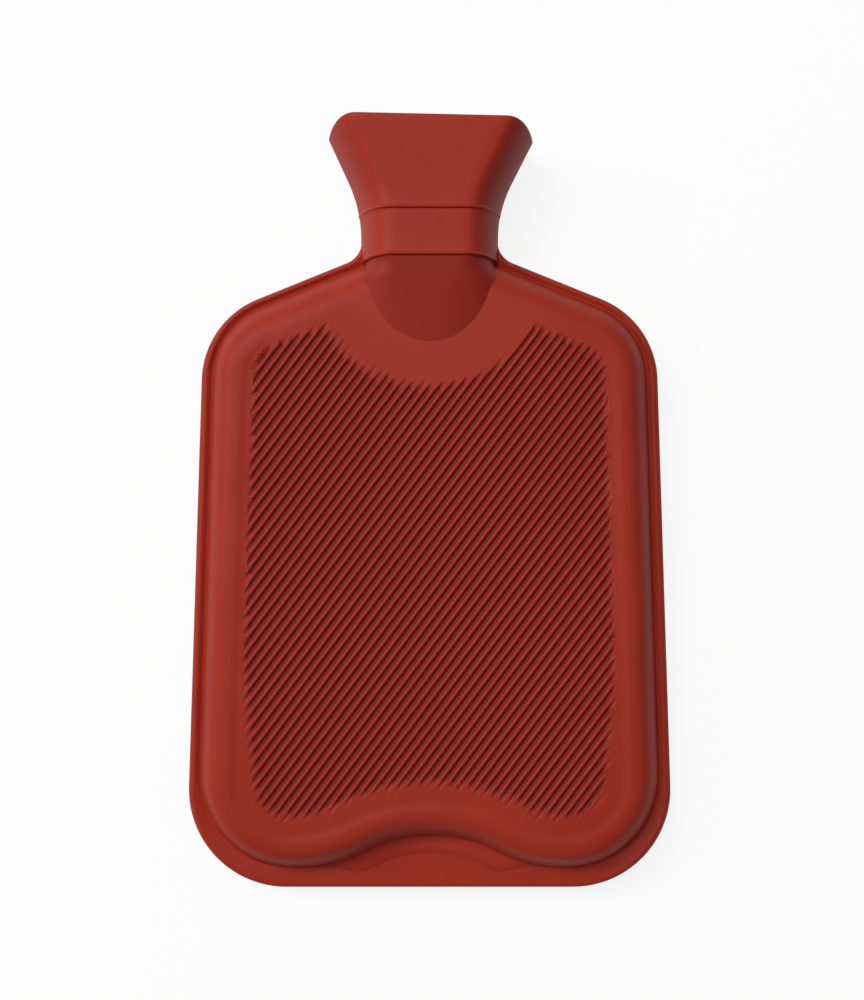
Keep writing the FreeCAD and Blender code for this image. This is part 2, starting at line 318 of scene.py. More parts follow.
@dataclass
class Panelled:
    """Rim and chamber: bead, groove and ridge at the rim, the wall, the sunken panel and its ribs."""

    # Outline of the rim
    half_width_at_foot: float = 103.7
    side_taper: float = 1.8
    foot_corner_radius: float = 41.5
    shoulder_corner_radius: float = 38.0
    shoulder_slope: float = 22.0
    shoulder_peak: float = 279.3
    neck_half_width: float = 28.9
    neck_root_radius: float = 10.0
    neck_cover_height: float = 274.0
    neck_cover_radius: float = 0.3

    # Outline of the chamber
    rim_width_at_sides: float = 5.3
    rim_width_at_shoulders: float = 4.4
    lobe_height: float = 8.8
    lobe_offset: float = 57.0
    arch_rise: float = 14.0
    arch_radius: float = 58.0
    crown_radius: float = 50.0
    foot_blend_from: float = 40.0
    foot_blend_run: float = 60.0
    shoulder_from: float = 225.0

    # Rim, whose section gives inset, height and the bead's share
    rim_height: float = 2.3
    bead_rise: float = 0.8
    bead_run_at_foot: float = 14.0
    bead_narrowing: float = 0.22
    bead_narrowing_run: float = 20.0
    rim_section: tuple[tuple[float, float, float], ...] = (
        (0.0, 0.0, 0.0), (0.1, 0.8, 0.0), (0.35, 1.5, 0.0), (0.75, 2.0, 0.15), (1.2, 2.2, 0.55),
        (1.7, 2.3, 0.88), (2.2, 2.3, 1.0), (2.7, 2.3, 0.88), (3.2, 2.3, 0.6))

    # Groove at the wall's foot, spread to a low ledge under the arch, as insets and rises over the rim
    groove_at_sides: tuple[tuple[float, float], ...] = (
        (-1.5, 0.12), (-1.05, -0.15), (-0.6, -0.38), (-0.35, -0.38), (-0.15, 0.0), (0.03, 0.6), (0.25, 1.3))
    ledge_at_arch: tuple[tuple[float, float], ...] = (
        (-8.2, 0.0), (-7.7, 0.06), (-7.3, 0.3), (-6.8, 0.56), (-4.2, 0.7), (-2.0, 0.55), (0.1, 0.7))
    ledge_least: float = 0.15
    ledge_run: float = 4.0
    arch_reach: float = 60.0
    arch_run: float = 6.0
    flank_spread: float = 0.12
    flank_from: float = 14.0
    flank_run: float = 20.0

    # Wall and sunken panel, with the shares of their widths at which loops lie
    crest: float = 16.75
    panel: float = 16.2
    wall_width: float = 12.6
    shoulder_wall_width: float = 15.0
    shoulder_wall_run: float = 25.0
    wall_power: float = 2.9
    dish_margin: float = 17.4
    wall_shares: tuple[float, ...] = (0.06, 0.13, 0.21, 0.3, 0.4, 0.51, 0.63, 0.76, 0.88, 1.0)
    dish_shares: tuple[float, ...] = (0.12, 0.26, 0.42, 0.58, 0.74, 0.88, 1.0)

    # Ribs, whose section gives the share of the pitch and of the depth
    rib_margin: float = 17.6
    rib_margin_at_foot: float = 23.2
    rib_pitch: float = 3.32
    rib_lean: float = 53.0
    rib_depth: float = 1.05
    rib_taper: float = 2.4
    rib_section: tuple[tuple[float, float], ...] = (
        (0.0, 0.0), (0.1, 0.03), (0.17, 0.16), (0.24, 0.5), (0.31, 0.82), (0.39, 0.97), (0.5, 1.0),
        (0.61, 0.97), (0.69, 0.82), (0.76, 0.5), (0.83, 0.16), (0.9, 0.03))
    bare_centre_height: float = 260.6
    bare_radius: float = 48.1
    # Painted shade in the rib grooves: it starts at one share of a groove's depth and is full after a
    # further run of shares
    painted_shade_from: float = 0.15
    painted_shade_run: float = 0.6

    # Fineness of the mesh; the insets are least, greatest and step
    arc_steps: int = 22
    line_steps: int = 20
    foot_insets: tuple[float, float, float] = (-9.0, 23.0, 0.5)
    rim_insets: tuple[float, float, float] = (0.0, 3.5, 0.25)
    rib_reach: float = 160.0
    sample_along: float = 3.6
    edge_gap: float = 0.6
    merge_gap: float = 1e-7
    least_area: float = 1e-7

    def side_x(self, height: float, inset: float) -> float:
        """Half-width of the tapered sides at a height, moved in by an inset."""
        slope = math.radians(self.side_taper)
        return self.half_width_at_foot - height * math.tan(slope) - inset / math.cos(slope)

    def shoulder(self, peak: float, side_inset: float) -> tuple[float, float]:
        """Point where the sloping shoulder meets the tapered side.

        Args:
            peak: height at which the two shoulders would meet.
            side_inset: how far the side is moved in.

        Returns:
            X and Y of the point.
        """
        fall = math.tan(math.radians(self.shoulder_slope))
        taper = math.tan(math.radians(self.side_taper))
        x = (self.side_x(0, side_inset) - peak * taper) / (1 - fall * taper)
        return x, peak - x * fall

    def rim(self, inset: float) -> np.ndarray:
        """Outline of the rim, closed inside the neck.

        Args:
            inset: how far it is moved in.

        Returns:
            Rows of X and Y.
        """
        slope = math.radians(self.shoulder_slope)
        peak = self.shoulder_peak - inset / math.cos(slope)
        x, y = self.shoulder(peak, inset)
        neck_x = self.neck_half_width - inset
        root = peak - neck_x * math.tan(slope)
        return rounded(both_sides([
            (self.side_x(inset, inset), inset, self.foot_corner_radius - inset),
            (x, y, self.shoulder_corner_radius - inset),
            (neck_x, root, self.neck_root_radius + inset),
            (neck_x, self.neck_cover_height, self.neck_cover_radius),
        ]), self.arc_steps, self.line_steps)

    def foot(self, inset: float, lower_inset: float | None = None) -> np.ndarray:
        """Outline of the chamber's foot on the rim.

        Args:
            inset: how far it is moved in.
            lower_inset: another inset for its lower part, or None.

        Returns:
            Rows of X and Y.
        """
        if lower_inset is not None:
            above = self.foot(inset)
            below = self.foot(lower_inset)
            share = eased((above[:, 1] - self.foot_blend_from) / self.foot_blend_run)[:, None]
            return between(below, above, share)
        together = (self.lobe_offset ** 2 + self.arch_rise ** 2) / (2 * self.arch_rise)
        lobe_radius = together - self.arch_radius - inset
        hollow_radius = self.arch_radius + inset
        flank = math.asin(self.lobe_offset / together)
        base = self.lobe_height + inset
        arch_corner = base + self.arch_rise + hollow_radius * (1 / math.cos(flank) - 1)
        lobe_corner = self.lobe_offset - lobe_radius * math.tan(flank / 2)
        side_inset = self.rim_width_at_sides + inset
        foot_x = self.side_x(base, side_inset)
        foot_radius = (foot_x - self.lobe_offset) * math.tan(math.radians(90 - self.side_taper) / 2)
        slope = math.radians(self.shoulder_slope)
        peak = self.shoulder_peak - (self.rim_width_at_shoulders + inset) / math.cos(slope)
        x, y = self.shoulder(peak, side_inset)
        return rounded(both_sides([
            (0, arch_corner, hollow_radius),
            (lobe_corner, base, lobe_radius),
            (foot_x, base, foot_radius),
            (x, y, self.shoulder_corner_radius - self.rim_width_at_sides - inset),
            (0, peak, self.crown_radius),
        ]), self.arc_steps, self.line_steps)

    def contours(self) -> list[np.ndarray]:
        """Loops from the rim's groove up the wall and over its crest to the edge of the ribbed panel.

        Returns:
            Rows of X, Y and Z for each loop.
        """
        at = graded(self.foot, *self.foot_insets)
        ground = self.foot(0)
        above = ground[:, 1] - self.lobe_height
        in_arch = (np.abs(ground[:, 0]) < self.lobe_offset) & (ground[:, 1] < self.arch_reach)
        rising = eased(above / self.arch_run)
        flank = self.flank_spread * rising * (1 - eased((above - self.flank_from) / self.flank_run))
        spread = np.where(in_arch, rising, flank)
        strength = between(self.ledge_least, 1.0, eased(above / self.ledge_run))
        up = eased((ground[:, 1] - self.shoulder_from) / self.shoulder_wall_run)
        width = between(self.wall_width, self.shoulder_wall_width, up)
        crest = between(self.crest, self.panel, up)
        rows = []
        for (side_in, side_up), (arch_in, arch_up) in zip(self.groove_at_sides, self.ledge_at_arch):
            rise = between(side_up, arch_up, spread) * strength
            rows.append(np.column_stack([at(between(side_in, arch_in, spread)), self.rim_height + rise]))
        start_in = between(self.groove_at_sides[-1][0], self.ledge_at_arch[-1][0], spread)
        start_up = rows[-1][:, 2]
        for share in self.wall_shares:
            climb = 1 - (1 - share) ** self.wall_power
            inset = between(start_in, width, share)
            rows.append(np.column_stack([at(inset), between(start_up, crest, climb)]))
        for share in self.dish_shares:
            fall = (1 - math.cos(math.pi * share)) / 2
            inset = between(width, self.dish_margin, share)
            rows.append(np.column_stack([at(inset), between(crest, self.panel, fall)]))
        return rows

    def ribbed(self, edge: np.ndarray) -> tuple[np.ndarray, np.ndarray]:
        """Points of the ribbed panel, on a lattice that runs with the ribs.

        Args:
            edge: rows of X and Y round the panel.

        Returns:
            Rows of X, Y and Z inside the edge, and the painted shade of each, from 0 to 1, darkest at the
            bottoms of the grooves.
        """
        lean = math.radians(self.rib_lean)
        along = np.array([math.cos(lean), math.sin(lean)])
        across = np.array([math.sin(lean), -math.cos(lean)])
        middle = np.array([0.0, (edge[:, 1].min() + edge[:, 1].max()) / 2])
        runs = np.arange(-self.rib_reach, self.rib_reach, self.sample_along)
        section = np.array(self.rib_section)
        count = int(self.rib_reach / self.rib_pitch)
        starts = np.arange(-count, count)
        sides = ((starts[:, None] + section[None, :, 0] - 0.5) * self.rib_pitch).ravel()
        lattice = (middle + runs[:, None, None] * along + sides[None, :, None] * across).reshape(-1, 2)
        depth = np.tile(section[:, 1], len(starts) * len(runs))
        keep = inside(lattice, edge)
        lattice, depth = lattice[keep], depth[keep]
        keep = gap_to(lattice, edge) > self.edge_gap
        lattice, depth = lattice[keep], depth[keep]
        limit = self.foot(self.rib_margin, self.rib_margin_at_foot)
        to_limit = np.where(inside(lattice, limit), gap_to(lattice, limit), 0.0)
        from_bare = np.hypot(lattice[:, 0], lattice[:, 1] - self.bare_centre_height) - self.bare_radius
        full = np.clip(np.minimum(to_limit, from_bare) / self.rib_taper, 0.0, 1.0)
        share = np.maximum(0.0, depth - (1 - full))
        # Painted shade: the colour darkens towards the groove bottoms, where shade falls.
        painted_shades = eased((share - self.painted_shade_from) / self.painted_shade_run)
        return np.column_stack([lattice, self.panel - self.rib_depth * share]), painted_shades

    def fill(self, skin: Skin, outer: np.ndarray, inner: np.ndarray | None, loose: np.ndarray) -> None:
        """Fills the space inside one loop, outside a second one, through loose points.

        Args:
            skin: the surface that holds the loops and takes the faces.
            outer: numbers of the outer loop's points.
            inner: numbers of the inner loop's points, or None.
            loose: numbers of the points between them.
        """
        numbers = np.concatenate([outer] + ([inner] if inner is not None else []) + [loose]).astype(int)
        flat = np.array([skin.points[i][:2] for i in numbers])
        edges = [(i, (i + 1) % len(outer)) for i in range(len(outer))]
        if inner is not None:
            edges += [(len(outer) + i, len(outer) + (i + 1) % len(inner)) for i in range(len(inner))]
        result = delaunay_2d_cdt([Vector(p) for p in flat], edges, [], 0, self.merge_gap)
        found = result[3]
        faces = np.array([[found[i][0] for i in face] for face in result[2]])
        middles = flat[faces].mean(axis=1)
        one = flat[faces[:, 1]] - flat[faces[:, 0]]
        two = flat[faces[:, 2]] - flat[faces[:, 0]]
        keep = np.abs(one[:, 0] * two[:, 1] - one[:, 1] * two[:, 0]) > self.least_area
        keep &= inside(middles, flat[:len(outer)])
        if inner is not None:
            keep &= ~inside(middles, flat[len(outer):len(outer) + len(inner)])
        for face in faces[keep]:
            skin.faces.append(tuple(int(numbers[i]) for i in face))

    def skin(self) -> Skin:
        """Rim and chamber, front and back, as one closed surface.

        Returns:
            The surface.
        """
        skin = Skin()
        outline = self.rim(0)
        low = eased(outline[:, 1] / self.bead_run_at_foot)
        up = eased((outline[:, 1] - self.shoulder_from) / self.bead_narrowing_run)
        narrow = 1 - self.bead_narrowing * up
        at = graded(self.rim, *self.rim_insets)
        rows = []
        for inset, height, bead in self.rim_section:
            rows.append(np.column_stack([at(inset * narrow), height + bead * self.bead_rise * low]))
        rim = skin.loops(rows)
        wall = skin.loops(self.contours())
        self.fill(skin, rim[-1], wall[0], np.array([], dtype=int))
        edge = np.array([skin.points[i][:2] for i in wall[-1]])
        loose = skin.add(*self.ribbed(edge))
        self.fill(skin, wall[-1], None, loose)
        skin.with_back()
        return skin


@dataclass
class Mouthed:
    """Neck band between its two rings, and the flared filling mouth above it."""

    # Neck and its rings
    neck_half_width: float = 29.1
    neck_half_depth: float = 22.4
    neck_flat: float = 15.5
    lower_ring: float = 265.6
    upper_ring: float = 284.8
    ring_rise_front: float = 1.1
    ring_step: float = 0.28
    ring_rise_side: float = 0.2
    fade_above: float = 7.0

    # Flare and lip
    mouth_height: float = 323.0
    mouth_half_width: float = 46.4
    mouth_lean: float = 0.9
    flare_start: float = 275.5
    flare_bend: float = 24.0
    leanness: float = 1.6
    mouth_half_depth: float = 25.5
    mouth_flat: float = 31.5
    trim_half_width: float = 44.6
    trim_drop: float = 5.2
    trim_power: float = 2.5
    lip_height: float = 322.1
    lip_slope: float = 1.2
    lip_rounding: float = 1.4

    # Wall, floor and the insert's pocket
    wall: float = 3.2
    floor_wall: float = 3.0
    floor_height: float = 285.8
    pocket_radius: float = 16.45
    pocket_flange_radius: float = 18.05
    pocket_base: float = 263.8
    pocket_flat: float = 0.3
    flange_depth: float = 2.05
    floor_rounding: float = 1.5
    floor_edge: float = 1.3

    # Sections: a ring's offsets and shares of rise, the root's heights and insets, degrees round the lip
    ring_section: tuple[tuple[float, float], ...] = (
        (-0.9, 0.0), (-0.76, 0.12), (-0.66, 0.5), (-0.5, 0.84), (-0.26, 1.0), (0.02, 0.94), (0.26, 0.74),
        (0.5, 0.5), (0.8, 0.33))
    ring_end: float = 1.2
    ring_roundness: float = 0.5
    root: tuple[tuple[float, float], ...] = ((256.0, 9.0), (262.0, 5.0), (264.4, 1.4))
    band: tuple[float, ...] = (268.5, 271.5, 275.0, 279.0, 282.5)
    above_ring: float = 2.2
    lip_angles: tuple[float, ...] = (22.0, 45.0, 68.0, 90.0, 112.0, 135.0, 158.0)
    lip_fullness: float = 0.8

    # Fineness of the mesh and of the search for the lip
    flat_steps: int = 12
    side_steps: int = 28
    outer_rows: int = 14
    inner_rows: int = 9
    halvings: int = 40
    search_above: float = 2.0

    def grown(self, height: Any, neck_size: float, mouth_size: float) -> Any:
        """Size at a height: the neck's own, then a soft bend into the mouth's even flare.

        Args:
            height: the height, or one for each point.
            neck_size: the size at the neck.
            mouth_size: the size at the mouth's top.

        Returns:
            The size, or one for each point.
        """
        bend = self.flare_bend
        above = np.maximum(0.0, height - self.flare_start)
        run = np.where(above < bend, above ** 2 / (2 * bend), above - bend / 2)
        whole = self.mouth_height - self.flare_start - bend / 2
        return neck_size + (mouth_size - neck_size) * run / whole

    def oval(self, height: np.ndarray | float, half_width: Any, half_depth: Any, flat: Any,
             leanness: float = 1.0) -> np.ndarray:
        """Loop round the neck's axis: flat in front and behind, rounded at both sides.

        Args:
            height: height of the loop, or of each of its points.
            half_width: half its width.
            half_depth: half its depth.
            flat: half the width of its flats.
            leanness: 1 for elliptical sides, towards 2 for sides that meet in a seam.

        Returns:
            Rows of X, Y and Z.
        """
        across = np.linspace(-1, 1, self.flat_steps + 1)[:-1]
        angles = np.linspace(0, math.pi, self.side_steps + 1)[:-1]
        flats = np.concatenate([across, np.ones(self.side_steps), -across, -np.ones(self.side_steps)])
        sines = np.concatenate([np.zeros(self.flat_steps), np.sin(angles), np.zeros(self.flat_steps),
                                -np.sin(angles)])
        cosines = np.concatenate([np.ones(self.flat_steps), np.cos(angles), -np.ones(self.flat_steps),
                                  -np.cos(angles)])
        x = flats * flat + sines * (half_width - flat)
        z = np.sign(cosines) * np.abs(cosines) ** leanness * half_depth
        return np.column_stack([x, height + np.zeros(len(x)), z])

    def flared(self, height: Any, inset: Any) -> np.ndarray:
        """Loop of the neck or of the filling mouth.

        Args:
            height: height of the loop, or of each of its points.
            inset: how far the loop or each of its points is moved in.

        Returns:
            Rows of X, Y and Z.
        """
        loop = self.oval(
            height,
            self.grown(height, self.neck_half_width, self.mouth_half_width) - inset,
            self.grown(height, self.neck_half_depth, self.mouth_half_depth) - inset,
            self.grown(height, self.neck_flat, self.mouth_flat) - inset / 2,
            self.leanness,
        )
        lean = np.maximum(0.0, loop[:, 1] - self.upper_ring) / (self.mouth_height - self.upper_ring)
        loop[:, 0] += self.mouth_lean * lean
        return loop

    def trimmed(self) -> np.ndarray:
        """Where the mouth ends: nearly level in front, rounded down at both corners.

        Returns:
            The height at which each column of points ends.
        """
        count = 2 * (self.flat_steps + self.side_steps)
        low = np.full(count, self.floor_height)
        high = np.full(count, self.mouth_height + self.search_above)
        slope = math.tan(math.radians(self.lip_slope))
        corner = self.trim_half_width - self.mouth_flat
        for _ in range(self.halvings):
            middle = (low + high) / 2
            x = self.flared(middle, 0)[:, 0] - self.mouth_lean
            beyond = np.clip((np.abs(x) - self.mouth_flat) / corner, 0, 1)
            drop = self.trim_drop * beyond ** self.trim_power
            over = (middle > self.lip_height - drop - x * slope) | (np.abs(x) > self.trim_half_width)
            high = np.where(over, middle, high)
            low = np.where(over, low, middle)
        return low

    def raised(self, height: Any, rise: Any) -> np.ndarray:
        """Loop of the neck that stands proud, less at the sides than in front.

        Args:
            height: height of the loop, or of each of its points.
            rise: share of a ring's rise, for the loop or for each of its points.

        Returns:
            Rows of X, Y and Z.
        """
        loop = self.flared(height, 0)
        outward = np.sign(loop[:, 2]) * np.abs(loop[:, 2] / np.abs(loop[:, 2]).max()) ** self.ring_roundness
        loop[:, 2] += outward * self.ring_rise_front * rise
        loop[:, 0] += np.sign(loop[:, 0]) * (1 - np.abs(outward)) * self.ring_rise_side * rise
        return loop

    def ringed(self, height: float) -> list[np.ndarray]:
        """Loops of one raised ring round the neck.

        Args:
            height: height of the ring.

        Returns:
            Rows of X, Y and Z for each loop.
        """
        rows = [self.raised(height + offset, rise) for offset, rise in self.ring_section]
        return rows + [self.raised(height + self.ring_end, self.ring_step)]

    def skin(self) -> Skin:
        """Neck and mouth as one closed surface, with the pocket for the insert in its floor.

        Returns:
            The surface.
        """
        skin = Skin()
        rows = [self.flared(at, inset) for at, inset in self.root]
        rows += self.ringed(self.lower_ring)
        for at in self.band:
            fade = 1 - float(eased((at - self.lower_ring) / self.fade_above))
            rows.append(self.raised(at, self.ring_step * fade))
        rows += self.ringed(self.upper_ring)
        outer_top = self.trimmed() - self.lip_rounding
        start = self.upper_ring + self.above_ring
        for share in np.linspace(0, 1, self.outer_rows):
            at = between(start, outer_top, share)
            fade = (1 - share) * (1 - eased((at - self.upper_ring) / self.fade_above))
            rows.append(self.raised(at, self.ring_step * fade))
        for angle in np.radians(self.lip_angles):
            lean = math.copysign(abs(math.cos(angle)) ** self.lip_fullness, math.cos(angle))
            rise = self.lip_rounding * math.sin(angle) ** self.lip_fullness
            rows.append(self.flared(outer_top + rise, self.wall / 2 * (1 - lean)))
        low = self.floor_height + self.floor_rounding
        for share in np.linspace(1, 0, self.inner_rows):
            inset = between(self.floor_wall, self.wall, share)
            rows.append(self.flared(between(low, outer_top, share), inset))
        back = self.floor_rounding * MID_ARC
        rows.append(self.flared(self.floor_height + back, self.floor_wall + back))
        rows.append(self.flared(self.floor_height, self.floor_wall + self.floor_edge))
        for radius, height in (
            (self.pocket_flange_radius, self.floor_height),
            (self.pocket_flange_radius, self.floor_height - self.flange_depth),
            (self.pocket_radius, self.floor_height - self.flange_depth),
            (self.pocket_radius, self.pocket_base),
        ):
            rows.append(self.oval(height, radius, radius, self.pocket_flat))
        added = skin.loops(rows)
        skin.cap(added[0], True)
        skin.cap(added[-1], False)
        return skin


@dataclass
class Tongued:
    """Rounded tongues, front and back, that slope from the lower ring down to the panels, their colour
    darkened by painted shade.
    """

    top: float = 265.8
    bottom: float = 225.0
    half_width: float = 28.0
    spread: float = 3.0
    spread_run: float = 20.0
    flat_at_top: float = 15.5
    flat_at_bottom: float = 0.5
    flat_power: float = 1.8
    fullness: float = 0.5
    half_depth_at_top: float = 22.4
    half_depth_at_bottom: float = 15.3
    under_ring_run: float = 9.0
    # Painted shade: share by which the tongues' colour is darkened, standing in for the shade on their
    # slope.
    painted_shade: float = 0.38
    rows: int = 22

    def skin(self, mouth: Mouthed) -> Skin:
        """Both tongues as one closed surface.

        Args:
            mouth: the neck and mouth above, whose ovals the tongues run into.

        Returns:
            The surface.
        """
        skin = Skin()
        loops = []
        for share in np.linspace(0, 1, self.rows):
            height = between(self.bottom, self.top, share)
            below = self.top - height
            width = self.half_width + self.spread * float(eased(below / self.spread_run))
            depth = between(self.half_depth_at_bottom, self.half_depth_at_top, share)
            flat = between(self.flat_at_bottom, self.flat_at_top, share ** self.flat_power)
            under_ring = float(eased(1 - below / self.under_ring_run))
            leanness = between(self.fullness, mouth.leanness, under_ring)
            loops.append(mouth.oval(height, width, depth, flat, leanness))
        added = skin.loops(loops)
        # Painted shade, even over both tongues.
        skin.painted_shades = [self.painted_shade] * len(skin.points)
        skin.cap(added[0], True)
        skin.cap(added[-1], False)
        return skin


def chosen(piece: bpy.types.Object, test: Callable[[Vector], bool]) -> None:
    """Selects corners of a mesh in edit mode, and the edges and faces between them.

    Args:
        piece: the object whose mesh is edited.
        test: says of a corner's place whether it is selected.
    """
    work = bmesh.from_edit_mesh(piece.data)
    for corner in work.verts:
        corner.select_set(test(corner.co))
    work.select_flush_mode()
    bmesh.update_edit_mesh(piece.data)


def opened() -> bpy.types.Object:
    """Fixes the new primitive's place in its mesh and opens it for editing, with all of it selected.

    Returns:
        The primitive's object.
    """
    bpy.ops.object.transform_apply(location=True, rotation=True, scale=True)
    bpy.ops.object.mode_set(mode="EDIT")
    bpy.ops.mesh.select_all(action="SELECT")
    return bpy.context.object


def closed() -> None:
    """Points the faces of the piece in edit mode outwards and ends the editing."""
    bpy.ops.mesh.select_all(action="SELECT")
    bpy.ops.mesh.normals_make_consistent(inside=False)
    bpy.ops.object.mode_set(mode="OBJECT")


@dataclass
class Stopper:
    """Moulded screw stopper, built upright about Z: shank, thread, flange, hub and winged grip."""

    # Shank and thread
    shank_base: float = 268.3
    shank_radius: float = 12.02
    shank_chamfer: float = 1.2
    core_radius: float = 11.1
    thread_pitch: float = 4.0
    thread_turns: float = 3.0
    thread_foot: float = 2.7
    thread_crest: float = 1.0
    thread_start: float = 270.8
    thread_sunk: float = 0.2
    thread_play: float = 0.02
    thread_end_size: float = 0.05
    thread_steps: int = 40
    run_out_steps: int = 8
    plain_from: float = 284.5

    # Flange and hub
    flange_base: float = 288.3
    flange_top: float = 291.3
    flange_radius: float = 17.88
    flange_rounding: float = 0.6
    hub_radius: float = 7.5
    hub_top: float = 302.3
    hub_rounding: float = 1.6

    # Grip
    grip_top: float = 315.2
    grip_base_half_width: float = 13.5
    grip_half_width: float = 19.5
    grip_thickness: float = 6.4
    grip_dip: float = 3.5
    grip_corner: float = 10.2
    grip_dip_run: float = 5.0
    grip_edge: float = 1.5
    grip_sunk: float = 1.0

    # Fineness of the mesh, and how near to a place a corner is chosen
    near: float = 1.0
    sides: int = 72
    dip_segments: int = 6
    corner_segments: int = 12
    edge_segments: int = 4
    edge_angle: float = 50.0
    smooth_angle: float = 35.0

    def turned(self) -> bpy.types.Object:
        """Shank, flange and hub, extruded from a disc through one profile of radii and heights.

        Returns:
            The form, about Z.
        """
        core = self.core_radius
        wide = self.flange_radius
        hub = self.hub_radius
        edge = self.flange_rounding
        crown = self.hub_rounding
        profile = [
            (core - self.shank_chamfer, self.shank_base),
            (core, self.shank_base + self.shank_chamfer),
            (core, self.plain_from - (self.shank_radius - core)),
            (self.shank_radius, self.plain_from),
            (self.shank_radius, self.flange_base),
            (wide - edge / 2, self.flange_base),
            (wide, self.flange_base + edge / 2),
            (wide, self.flange_top - edge),
            (wide - edge * MID_ARC, self.flange_top - edge * MID_ARC),
            (wide - edge, self.flange_top),
            (hub + crown, self.flange_top),
            (hub + crown * MID_ARC, self.flange_top + crown * MID_ARC),
            (hub, self.flange_top + crown),
            (hub, self.hub_top - crown),
            (hub - crown * MID_ARC, self.hub_top - crown * MID_ARC),
            (hub - crown, self.hub_top),
        ]
        start_radius, start = profile[0]
        bpy.ops.mesh.primitive_circle_add(vertices=self.sides, radius=start_radius, fill_type="NGON",
                                          location=(0, 0, start))
        piece = opened()
        for (radius, low), (next_radius, high) in zip(profile, profile[1:]):
            grown = next_radius / radius
            bpy.ops.mesh.extrude_region_move(TRANSFORM_OT_translate={"value": (0, 0, high - low)})
            bpy.ops.transform.resize(value=(grown, grown, 1), center_override=(0, 0, high))
        closed()
        return piece

    def thread(self) -> bpy.types.Object:
        """One right-hand ridge, its section extruded step by step round the shank and run out at both ends.

        Returns:
            The form, about Z.
        """
        root = self.core_radius - self.thread_sunk
        crest = self.shank_radius - self.thread_play
        bpy.ops.mesh.primitive_plane_add(size=1, location=((root + crest) / 2, 0, self.thread_start),
                                         rotation=(math.pi / 2, 0, 0))
        piece = opened()
        bpy.ops.transform.resize(value=(crest - root, 1, self.thread_foot))
        chosen(piece, lambda spot: spot.x > (root + crest) / 2)
        bpy.ops.transform.resize(value=(1, 1, self.thread_crest / self.thread_foot))
        bpy.ops.mesh.select_all(action="SELECT")
        turn = 2 * math.pi / self.thread_steps
        rise = self.thread_pitch / self.thread_steps
        count = round(self.thread_turns * self.thread_steps)
        size = 1.0
        for step in range(count + 1):
            angle = step * turn
            foot = (root * math.cos(angle), root * math.sin(angle), self.thread_start + step * rise)
            run_out = min(step, count - step) / self.run_out_steps
            share = max(self.thread_end_size, min(1.0, run_out))
            bpy.ops.transform.resize(value=(share / size,) * 3, center_override=foot)
            size = share
            if step < count:
                bpy.ops.mesh.extrude_region_move(TRANSFORM_OT_translate={"value": (0, 0, rise)})
                bpy.ops.transform.rotate(value=-turn, orient_axis="Z", center_override=(0, 0, 0))
        closed()
        return piece

    def grip(self) -> bpy.types.Object:
        """Winged plate with a dip in its top edge, its corners and its rims rounded.

        Returns:
            The form, about Z.
        """
        base = self.flange_top - self.grip_sunk
        crown = self.grip_top - self.near
        bpy.ops.mesh.primitive_cube_add(
            size=1, location=(0, 0, (base + self.grip_top) / 2),
            scale=(2 * self.grip_base_half_width, self.grip_thickness, self.grip_top - base))
        piece = opened()
        chosen(piece, lambda spot: spot.z > crown)
        bpy.ops.transform.resize(value=(self.grip_half_width / self.grip_base_half_width, 1, 1))
        bpy.ops.mesh.select_all(action="SELECT")
        bpy.ops.mesh.bisect(plane_co=(0, 0, 0), plane_no=(1, 0, 0))
        chosen(piece, lambda spot: spot.z > crown and abs(spot.x) < self.near)
        bpy.ops.transform.translate(value=(0, 0, -self.grip_dip))
        bpy.ops.mesh.bevel(offset_type="ABSOLUTE", offset=self.grip_dip_run, segments=self.dip_segments,
                           affect="EDGES")
        for side in (-1, 1):
            chosen(piece, lambda spot: spot.z > crown and spot.x * side > self.grip_base_half_width)
            bpy.ops.mesh.bevel(offset_type="ABSOLUTE", offset=self.grip_corner,
                               segments=self.corner_segments, affect="EDGES")
        closed()
        rims = piece.modifiers.new("rims", "BEVEL")
        rims.width = self.grip_edge
        rims.segments = self.edge_segments
        rims.limit_method = "ANGLE"
        rims.angle_limit = math.radians(self.edge_angle)
        bpy.ops.object.modifier_apply(modifier=rims.name)
        return piece

    def build(self, name: str) -> bpy.types.Object:
        """Joins the stopper's forms and screws it home.

        Args:
            name: name of the finished object.

        Returns:
            The object, at the origin, with its place in its mesh.
        """
        bpy.ops.object.select_all(action="DESELECT")
        forms = [self.thread(), self.grip(), self.turned()]
        for form in forms:
            form.select_set(True)
        bpy.ops.object.join()
        piece = bpy.context.object
        piece.name = name
        piece.data.name = name
        spots = np.array([corner.co for corner in piece.data.vertices])
        placed = REST.place(np.column_stack([spots[:, 0], spots[:, 2], -spots[:, 1]]))
        piece.data.vertices.foreach_set("co", placed.astype(np.float32).ravel())
        piece.data.update()
        bpy.ops.object.shade_smooth_by_angle(angle=math.radians(self.smooth_angle))
        return piece


class Wire:
    """A shader socket or a plain number, with the arithmetic that the finishes use."""

    def __init__(self, nodes: "Nodes", value: Any) -> None:
        """Keeps the node tree and the socket or number."""
        self.nodes = nodes
        self.value = value

    def _made(self, operation: str, other: Any) -> "Wire":
        """One Math node on this value and another."""
        return self.nodes.node("ShaderNodeMath", {"operation": operation}, {0: self, 1: other})

    def __add__(self, other: Any) -> "Wire":
        """Sum."""
        return self._made("ADD", other)

    __radd__ = __add__

    def __mul__(self, other: Any) -> "Wire":
        """Product."""
        return self._made("MULTIPLY", other)

    __rmul__ = __mul__


